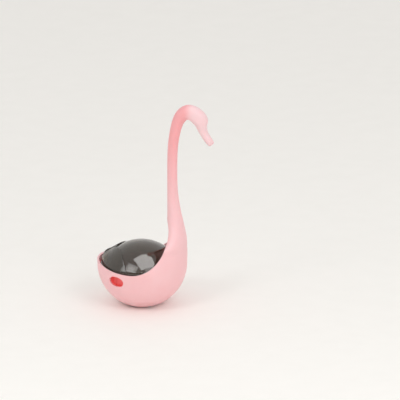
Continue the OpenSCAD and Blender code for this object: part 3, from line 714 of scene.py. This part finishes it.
@dataclass
class SwanHousing:
    """Moulded body from the bowl over the neck to the beak, with its bulkhead.

    Lengths are in millimetres and angles in degrees.

    Attributes:
        edge: Rounding of the bulkhead's edges.
        seam: How close to the mid plane the faces of the seam lie.
        bowl_z: Height of the bowl's centre.
        outlet_angle: Angle of the outlet round the bowl's axis.
        outlet_z: Height of the outlet.
        outlet_straight: Half the straight run of the round-ended outlet.
        outlet_end: Radius of its round ends.
        outlet_oval: Half axes of the oval that it becomes, across and up.
        near: How close to the outlet's edge a corner counts as part of it.
        neck_z: Height above which the moulding is smoothed.
        neck_passes: Passes of smoothing after each refining.
        ease: Strength of one pass.
        gentle: Edges that turn by less than this are smoothed over.
        square: How far two triangles that become one face may be from a square.
    """

    edge: float = 0.3
    seam: float = 0.01
    bowl_z: float = 47.537
    outlet_angle: float = 242.5
    outlet_z: float = 37.437
    outlet_straight: float = 3.0
    outlet_end: float = 6.0
    outlet_oval: tuple[float, float] = (9.5, 6.2)
    near: float = 0.06
    neck_z: float = 62.0
    neck_passes: tuple[int, ...] = (1, 8)
    ease: float = 0.5
    gentle: float = 30.0
    square: float = 70.0

    def build(self, bench: Bench) -> None:
        """Joins the two halves over their seam, forms the outlet and smooths the neck."""
        mesh = bench.welded("left_housing", "right_housing")
        inside = [f for f in mesh.faces if all(abs(v.co.y) < self.seam * MM for v in f.verts)]
        bmesh.ops.delete(mesh, geom=inside, context="FACES")
        bmesh.ops.remove_doubles(mesh, verts=mesh.verts, dist=self.seam * MM)
        self.round_outlet(mesh)
        self.smooth_neck(mesh)
        bench.finish(mesh, "swan_housing", Body.HOUSING, Slot.SHELL, ("left_housing", "right_housing"))
        bench.dress("neck_bulkhead", Body.HOUSING, Slot.SHELL, self.edge)

    def smooth_neck(self, mesh: bmesh.types.BMesh) -> None:
        """Refines the neck and the head between their sharp edges, so that their outline runs smoothly."""
        for passes in self.neck_passes:
            bmesh.ops.join_triangles(
                mesh,
                faces=[f for f in self.gentle_faces(mesh) if len(f.verts) == 3],
                angle_face_threshold=math.radians(self.gentle),
                angle_shape_threshold=math.radians(self.square),
            )
            gentle = set(self.gentle_faces(mesh))
            edges = [e for e in mesh.edges if gentle.issuperset(e.link_faces)]
            bmesh.ops.subdivide_edges(mesh, edges=edges, cuts=1, use_grid_fill=True)
            gentle = set(self.gentle_faces(mesh))
            verts = [v for v in mesh.verts if v.link_faces and gentle.issuperset(v.link_faces)]
            for _ in range(passes):
                bmesh.ops.smooth_vert(
                    mesh, verts=verts, factor=self.ease, use_axis_x=True, use_axis_y=True, use_axis_z=True
                )

    def gentle_faces(self, mesh: bmesh.types.BMesh) -> list[bmesh.types.BMFace]:
        """Returns the faces of the neck and head that have no sharp edge."""
        limit = math.radians(self.gentle)
        return [
            f
            for f in mesh.faces
            if all(v.co.z > self.neck_z * MM for v in f.verts)
            and all(e.calc_face_angle(math.pi) < limit for e in f.edges)
        ]

    def round_outlet(self, mesh: bmesh.types.BMesh) -> None:
        """Turns the round-ended outlet into an oval, along the surface of the bowl."""
        angle = math.radians(self.outlet_angle)
        outward = Vector((math.cos(angle), math.sin(angle), 0.0))
        side = Vector((-math.sin(angle), math.cos(angle), 0.0))
        middle = Vector((0.0, 0.0, self.bowl_z))
        for vert in mesh.verts:
            spot = vert.co / MM
            across = spot.dot(side)
            up = spot.z - self.outlet_z
            straight = max(abs(across) - self.outlet_straight, 0.0)
            if spot.dot(outward) < 0 or abs(math.hypot(straight, up) - self.outlet_end) > self.near:
                continue
            turn = math.atan2(up / self.outlet_oval[1], across / self.outlet_oval[0])
            moved = spot + side * (self.outlet_oval[0] * math.cos(turn) - across)
            moved.z += self.outlet_oval[1] * math.sin(turn) - up
            vert.co = (middle + (moved - middle).normalized() * (spot - middle).length) * MM


@dataclass(frozen=True)
class Ball:
    """Sphere on the mid plane of the toy, in millimetres."""

    x: float
    z: float
    radius: float

    def top(self, spot: Vector) -> float:
        """Returns the height of the upper surface over a spot of the plan."""
        rest = self.radius**2 - (spot.x - self.x) ** 2 - spot.y**2
        return self.z + math.sqrt(max(rest, 0.0))

    def reach(self, angle: float, height: float) -> float:
        """Returns how far the sphere reaches from the bowl's axis at a height, seen along an angle."""
        ring = math.sqrt(self.radius**2 - (height - self.z) ** 2)
        return self.x * math.cos(angle) + math.sqrt(ring**2 - (self.x * math.sin(angle)) ** 2)


@dataclass
class SmokedLid:
    """Hinged dome with the pair of wings at its tail, and the pin.

    Lengths are in millimetres.

    Attributes:
        edge: Rounding of the dome's edges.
        pin_edge: Rounding of the pin's ends.
        dome: Outside of the dome, with the gap under the wings.
        swell: Ball that the top of the wings follows.
        seat_z: Height of the wings' underside beside the dome.
        flange_x: Place of the flange's centre.
        flange_z: Height of the flange's underside.
        flange_r: Radius of the flange.
        skirt: How far the flange's edge is drawn down.
        skirt_x: Places between which the skirt sets in.
        near: How close to the flange's edge a corner counts as part of it.
        wing_r: Greatest reach of a wing from the bowl's axis.
        wing_edge: Knots of the seam where a wing rises from the dome, in the plan.
        tangent_parts: Parts of the way between the next knots that a tangent of the seam takes.
        curve_steps: Points of the seam between two knots.
        columns: Columns of a wing's grid.
        rows: Rows of a wing's grid.
        rounding: Radius of a wing's edges.
        most_rounded: Greatest share of a wing's height that the rounding takes.
        thinnest: Least height of a wing.
        merge: How close the corners of a wing lie that become one.
        edge_lift: Lift of a wing inside its outer edge.
        edge_run: Width over which that lift sets in.
        tail_lift: Lift of a wing's tip at the tail.
        lift_x: Places along the toy between which that lift sets in.
        lift_y: Places across the toy between which that lift sets in.
    """

    HALF = 0.5
    edge: float = 0.35
    pin_edge: float = 0.15
    dome: Ball = Ball(-1.0, 24.38, 48.207)
    swell: Ball = Ball(-5.4, 19.58, 51.457)
    seat_z: float = 48.54
    flange_x: float = 1.0
    flange_z: float = 46.837
    flange_r: float = 47.0
    skirt: float = 0.75
    skirt_x: tuple[float, float] = (25.0, 5.0)
    near: float = 0.06
    wing_r: float = 45.0
    wing_edge: tuple[tuple[float, float], ...] = (
        (-9.0, 47.5),
        (-14.3, 35.0),
        (-19.2, 22.2),
        (-23.6, 10.6),
        (-27.8, 4.2),
        (-32.4, 1.0),
        (-37.2, 2.6),
        (-42.0, 5.0),
        (-49.0, 9.0),
    )
    tangent_parts: float = 6.0
    curve_steps: int = 16
    columns: int = 72
    rows: int = 30
    rounding: float = 1.5
    most_rounded: float = 0.85
    thinnest: float = 0.05
    merge: float = 0.02
    edge_lift: float = 0.4
    edge_run: float = 4.0
    tail_lift: float = 2.6
    lift_x: tuple[float, float] = (-34.0, -44.0)
    lift_y: tuple[float, float] = (30.0, 14.0)

    def build(self, bench: Bench) -> None:
        """Dresses the dome, the wings and the pin."""
        self.cover(bench)
        self.wings(bench)
        bench.dress("hinge_pin", Body.HOUSING, Slot.STEEL, self.pin_edge)

    def cover(self, bench: Bench) -> None:
        """Dresses the dome, with the outer edge of its flange drawn down as a skirt."""
        mesh = bench.welded("lid_dome")
        for vert in mesh.verts:
            spot = vert.co / MM
            out = math.hypot(spot.x - self.flange_x, spot.y)
            if abs(spot.z - self.flange_z) < self.near and out > self.flange_r - self.near:
                vert.co.z -= self.skirt * smooth_share(spot.x, *self.skirt_x) * MM
        bench.soften(mesh, self.edge)
        bench.finish(mesh, "dressed_lid_dome", Body.LID, Slot.SMOKE, ("lid_dome",))

    def wings(self, bench: Bench) -> None:
        """Forms one wing from a grid between its seam and the outer edge, and mirrors it."""
        seam = self.seam()
        angles = [math.atan2(spot.y, spot.x) for spot in (seam[0], seam[-1])]
        mesh = bmesh.new()
        bmesh.ops.create_grid(mesh, x_segments=self.columns, y_segments=self.rows, size=self.HALF)
        raised = bmesh.ops.extrude_face_region(mesh, geom=mesh.faces[:])["geom"]
        upper = {item for item in raised if isinstance(item, bmesh.types.BMVert)}
        for vert in mesh.verts:
            along = vert.co.x + self.HALF
            across = vert.co.y + self.HALF
            place = along * (len(seam) - 1)
            step = min(int(place), len(seam) - 2)
            inner = seam[step].lerp(seam[step + 1], place - step)
            outer = self.outer(angles[0] + (angles[1] - angles[0]) * along)
            spot = inner.lerp(outer, (1 - math.cos(math.pi * across)) / 2)
            height = self.underside(spot) + (self.thickness(spot, seam) if vert in upper else 0.0)
            vert.co = Vector((spot.x, spot.y, height)) * MM
        bench.clean(mesh, self.merge)
        wing = mesh.verts[:] + mesh.edges[:] + mesh.faces[:]
        bmesh.ops.mirror(mesh, geom=wing, axis="Y", merge_dist=-1.0)
        bmesh.ops.recalc_face_normals(mesh, faces=mesh.faces)
        bench.finish(mesh, "dressed_tail_grip", Body.LID, Slot.SMOKE, ("tail_grip",))

    def outer(self, angle: float) -> Vector:
        """Returns the spot of a wing's outer edge at an angle round the bowl's axis."""
        reach = min(self.wing_r, self.swell.reach(angle, self.seat_z))
        return Vector((math.cos(angle), math.sin(angle))) * reach

    def inside(self, spot: Vector) -> float:
        """Returns how far a spot lies inside a wing's outer edge."""
        return self.outer(math.atan2(spot.y, spot.x)).length - spot.length

    def seam(self) -> list[Vector]:
        """Returns the line where a wing rises from the dome, cut off at the outer edge."""
        knots = [Vector(spot) for spot in self.wing_edge]
        padded = [knots[0], *knots, knots[-1]]
        line = [knots[0]]
        for before, start, end, after in zip(padded, knots, knots[1:], padded[3:]):
            leave = start + (end - before) / self.tangent_parts
            arrive = end - (after - start) / self.tangent_parts
            line += interpolate_bezier(start, leave, arrive, end, self.curve_steps)[1:]
        within = [k for k, spot in enumerate(line) if self.inside(spot) > 0]
        cut = [self.crossing(line[k], line[k + way]) for k, way in ((within[0], -1), (within[-1], 1))]
        return [cut[0], *(line[k] for k in within), cut[1]]

    def crossing(self, inner: Vector, outer: Vector) -> Vector:
        """Returns the spot between two others that lies on a wing's outer edge."""
        near = self.inside(inner)
        return inner.lerp(outer, near / (near - self.inside(outer)))

    def underside(self, spot: Vector) -> float:
        """Returns the height of a wing's underside, on the dome or on its flange."""
        return max(self.dome.top(spot), self.seat_z)

    def thickness(self, spot: Vector, seam: list[Vector]) -> float:
        """Returns the height of a wing over its underside, with round edges and a raised tail.

        Args:
            spot: Place in the plan.
            seam: Line where the wing rises from the dome.

        Returns:
            Height in millimetres.
        """
        lift = smooth_share(spot.x, *self.lift_x) * smooth_share(spot.y, *self.lift_y)
        lift = self.tail_lift * lift + self.edge_lift * smooth_share(self.inside(spot), 0.0, self.edge_run)
        full = max(self.swell.top(spot) + lift - self.underside(spot), 0.0)
        drop = 0.0
        for gap in (self.seam_gap(spot, seam), max(self.inside(spot), 0.0)):
            short = max(self.rounding - gap, 0.0)
            drop += self.rounding - math.sqrt(self.rounding**2 - short**2)
        return max(full - min(drop, full * self.most_rounded), self.thinnest)

    @staticmethod
    def seam_gap(spot: Vector, seam: list[Vector]) -> float:
        """Returns the distance of a spot of the plan from the seam."""
        nearest = math.inf
        for start, end in zip(seam, seam[1:]):
            share = intersect_point_line(spot, start, end)[1]
            nearest = min(nearest, (start.lerp(end, min(max(share, 0.0), 1.0)) - spot).length)
        return nearest


@dataclass
class TreatStore:
    """Cup that holds the treats and the shutter of its outlet.

    Lengths are in millimetres.

    Attributes:
        edge: Rounding of the edges.
        rim_z: Height of the cup's rim.
        rim_drop: How far the rim is lowered.
        near: How close to the rim a corner counts as part of it.
    """

    edge: float = 0.3
    rim_z: float = 46.64
    rim_drop: float = 0.7
    near: float = 0.05

    def build(self, bench: Bench) -> None:
        """Dresses the cup, with its rim just under the lip of the bowl, and the shutter."""
        mesh = bench.welded("treat_cup")
        for vert in mesh.verts:
            if vert.co.z / MM > self.rim_z - self.near:
                vert.co.z -= self.rim_drop * MM
        bench.soften(mesh, self.edge)
        bench.finish(mesh, "dressed_treat_cup", Body.HOUSING, Slot.INNER, ("treat_cup",))
        bench.dress("outlet_shutter", Body.SHUTTER, Slot.INNER, self.edge)


@dataclass
class Underside:
    """Base cover, its screws, the battery door and the power button.

    Attributes:
        edge: Rounding of the mouldings' edges in millimetres.
        screw_edge: Rounding of the screws' edges in millimetres.
    """

    edge: float = 0.3
    screw_edge: float = 0.12

    def build(self, bench: Bench) -> None:
        """Dresses what shows from below."""
        bench.dress("base_cover", Body.HOUSING, Slot.SHELL, self.edge)
        bench.dress("battery_door", Body.DOOR, Slot.SHELL, self.edge)
        bench.dress("power_button", Body.BUTTON, Slot.INNER, self.edge)
        bench.dress("base_screws", Body.HOUSING, Slot.STEEL, self.screw_edge)


@dataclass
class Electrics:
    """Cells, board, light module and leads inside the toy.

    Attributes:
        painted: Solids with their finishes.
    """

    painted: tuple[tuple[str, Slot], ...] = (
        ("door_contact", Slot.BRASS),
        ("button_cells", Slot.STEEL),
        ("top_contact", Slot.BRASS),
        ("counterweight", Slot.IRON),
        ("circuit_board", Slot.BOARD),
        ("board_screws", Slot.STEEL),
        ("driver_chip", Slot.BLACK),
        ("vibration_switch", Slot.BRASS),
        ("capacitor", Slot.BLACK),
        ("tact_switch", Slot.BLACK),
        ("laser_barrel", Slot.BRASS),
        ("laser_lens", Slot.LENS),
        ("laser_driver", Slot.BOARD),
        ("red_lead", Slot.RED),
        ("black_lead", Slot.BLACK),
    )

    def build(self, bench: Bench) -> None:
        """Paints the solids that stay hidden in use."""
        for node, slot in self.painted:
            bench.paint(node, slot)


@dataclass(frozen=True)
class Softbox:
    """Square area lamp that is aimed at the bowl.

    Attributes:
        name: Name of the lamp.
        place: Position in metres.
        size: Side of the square in metres.
        power: Power in watts.
        lights: Whether it lights matt surfaces, or only shows as a reflection.
    """

    name: str
    place: tuple[float, float, float]
    size: float
    power: float
    lights: bool = True

    def hang(self, aim: Vector) -> None:
        """Adds the lamp to the scene and turns it to the spot that it is aimed at."""
        lamp = bpy.data.lights.new(self.name, "AREA")
        lamp.shape = "SQUARE"
        lamp.size = self.size
        lamp.energy = self.power
        holder = bpy.data.objects.new(self.name, lamp)
        holder.location = self.place
        holder.rotation_euler = (aim - Vector(self.place)).to_track_quat("-Z", "Y").to_euler()
        holder.visible_diffuse = self.lights
        bpy.context.scene.collection.objects.link(holder)


@dataclass
class Studio:
    """Floor, soft light and camera.

    Attributes:
        azimuth: Angle of the camera round the toy in degrees.
        elevation: Angle of the camera above the floor in degrees.
        distance: Distance of the camera in metres.
        pixel: Size of a picture element at the bowl in millimetres.
        image: Picture elements along a side of the picture.
        bowl_px: Where the bowl's centre lies in the picture.
        bowl_z: Height of the bowl's centre in millimetres.
        sensor: Width of the camera's sensor in millimetres.
        clip: Nearest and farthest distance that the camera sees, in metres.
        floor_half: Half the side of the floor in metres.
        floor_light: Lighter tone of the floor.
        floor_deep: Deeper tone of the floor.
        floor_gloss: Least and greatest roughness of the floor.
        sky_colour: Colour of the light from all around.
        sky_strength: Strength of that light.
        white: Colour that the sky shows to the camera and in reflections.
        lamps: Key at the right, fill at the left and two windows that only show as reflections.
    """

    azimuth: float = 9.0
    elevation: float = 18.0
    distance: float = 9.0
    pixel: float = 1.111
    image: float = 400.0
    bowl_px: tuple[float, float] = (142.3, 262.0)
    bowl_z: float = 47.54
    sensor: float = 36.0
    clip: tuple[float, float] = (0.1, 100.0)
    floor_half: float = 30.0
    floor_light: Colour = (252, 250, 246)
    floor_deep: Colour = (250, 248, 244)
    floor_gloss: tuple[float, float] = (0.6, 0.7)
    sky_colour: tuple[float, float, float, float] = (1.0, 0.99, 0.975, 1.0)
    sky_strength: float = 0.76
    white: tuple[float, float, float, float] = (1.0, 1.0, 1.0, 1.0)
    lamps: tuple[Softbox, ...] = (
        Softbox("key", (1.1, -1.2, 1.3), 0.9, 7.4),
        Softbox("fill", (-0.61, -1.03, 1.21), 0.5, 3.2),
        Softbox("window", (0.29, -0.37, 1.5), 1.15, 20.0, lights=False),
        Softbox("side window", (-0.61, -1.03, 1.21), 0.9, 6.5, lights=False),
    )

    def build(self) -> None:
        """Sets the view transform and builds floor, light and camera."""
        bpy.context.scene.view_settings.view_transform = "Standard"
        self.floor()
        self.world()
        for lamp in self.lamps:
            lamp.hang(self.bowl())
        self.camera()

    def bowl(self) -> Vector:
        """Returns the bowl's centre in metres."""
        return Vector((0.0, 0.0, self.bowl_z * MM))

    def floor(self) -> None:
        """Lays a pale floor under the toy."""
        mesh = bmesh.new()
        bmesh.ops.create_grid(mesh, x_segments=1, y_segments=1, size=self.floor_half)
        data = bpy.data.meshes.new("floor")
        mesh.to_mesh(data)
        mesh.free()
        material, sheet, shader = new_material("pale_floor")
        group = Effects.tones(sheet, self.floor_light, self.floor_deep, self.floor_gloss)
        sheet.wire(group.outputs["Colour"], shader.inputs["Base Color"])
        sheet.wire(group.outputs["Roughness"], shader.inputs["Roughness"])
        data.materials.append(material)
        floor = bpy.data.objects.new("floor", data)
        bpy.context.scene.collection.objects.link(floor)

    def world(self) -> None:
        """Makes an even sky that the camera sees as white."""
        world = bpy.data.worlds.new("studio")
        bpy.context.scene.world = world
        world.use_nodes = True
        sheet = NodeSheet(world.node_tree)
        sky = world.node_tree.nodes["Background"]
        sky.inputs["Color"].default_value = self.sky_colour
        sky.inputs["Strength"].default_value = self.sky_strength
        white = sheet.add("ShaderNodeBackground")
        white.inputs["Color"].default_value = self.white
        white.inputs["Strength"].default_value = 1.0
        rays = sheet.add("ShaderNodeLightPath")
        direct = sheet.add("ShaderNodeMath", operation="MAXIMUM")
        seen = sheet.add("ShaderNodeMath", operation="MAXIMUM")
        mix = sheet.add("ShaderNodeMixShader")
        sheet.wire(rays.outputs["Is Camera Ray"], direct.inputs[0])
        sheet.wire(rays.outputs["Is Glossy Ray"], direct.inputs[1])
        sheet.wire(direct.outputs["Value"], seen.inputs[0])
        sheet.wire(rays.outputs["Is Transmission Ray"], seen.inputs[1])
        sheet.wire(seen.outputs["Value"], mix.inputs["Fac"])
        sheet.wire(sky.outputs["Background"], mix.inputs[1])
        sheet.wire(white.outputs["Background"], mix.inputs[2])
        sheet.wire(mix.outputs["Shader"], world.node_tree.nodes["World Output"].inputs["Surface"])

    def camera(self) -> None:
        """Sets up a long lens at the photographed angle."""
        az = math.radians(self.azimuth)
        el = math.radians(self.elevation)
        back = Vector((math.sin(az) * math.cos(el), -math.cos(az) * math.cos(el), math.sin(el)))
        right = Vector((math.cos(az), math.sin(az), 0.0))
        up = Vector((-math.sin(az) * math.sin(el), math.cos(az) * math.sin(el), math.cos(el)))
        half = self.image / 2
        aim = self.bowl()
        aim += right * ((half - self.bowl_px[0]) * self.pixel * MM)
        aim += up * ((self.bowl_px[1] - half) * self.pixel * MM)
        data = bpy.data.cameras.new("long_lens")
        data.sensor_width = self.sensor
        data.lens = data.sensor_width * self.distance / (self.image * self.pixel * MM)
        data.clip_start, data.clip_end = self.clip
        camera = bpy.data.objects.new("long_lens", data)
        turn = (-back).to_track_quat("-Z", "Y").to_matrix().to_4x4()
        camera.matrix_world = Matrix.Translation(aim + back * self.distance) @ turn
        bpy.context.scene.collection.objects.link(camera)
        bpy.context.scene.camera = camera


def main() -> None:
    """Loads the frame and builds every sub-assembly."""
    logging.basicConfig(level=logging.INFO, format="%(name)s: %(message)s")
    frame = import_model()
    bench = Bench(frame, Palette())
    for assembly in (SwanHousing(), SmokedLid(), TreatStore(), Underside(), Electrics()):
        assembly.build(bench)
    Studio().build()


if __name__ == "__main__":
    main()
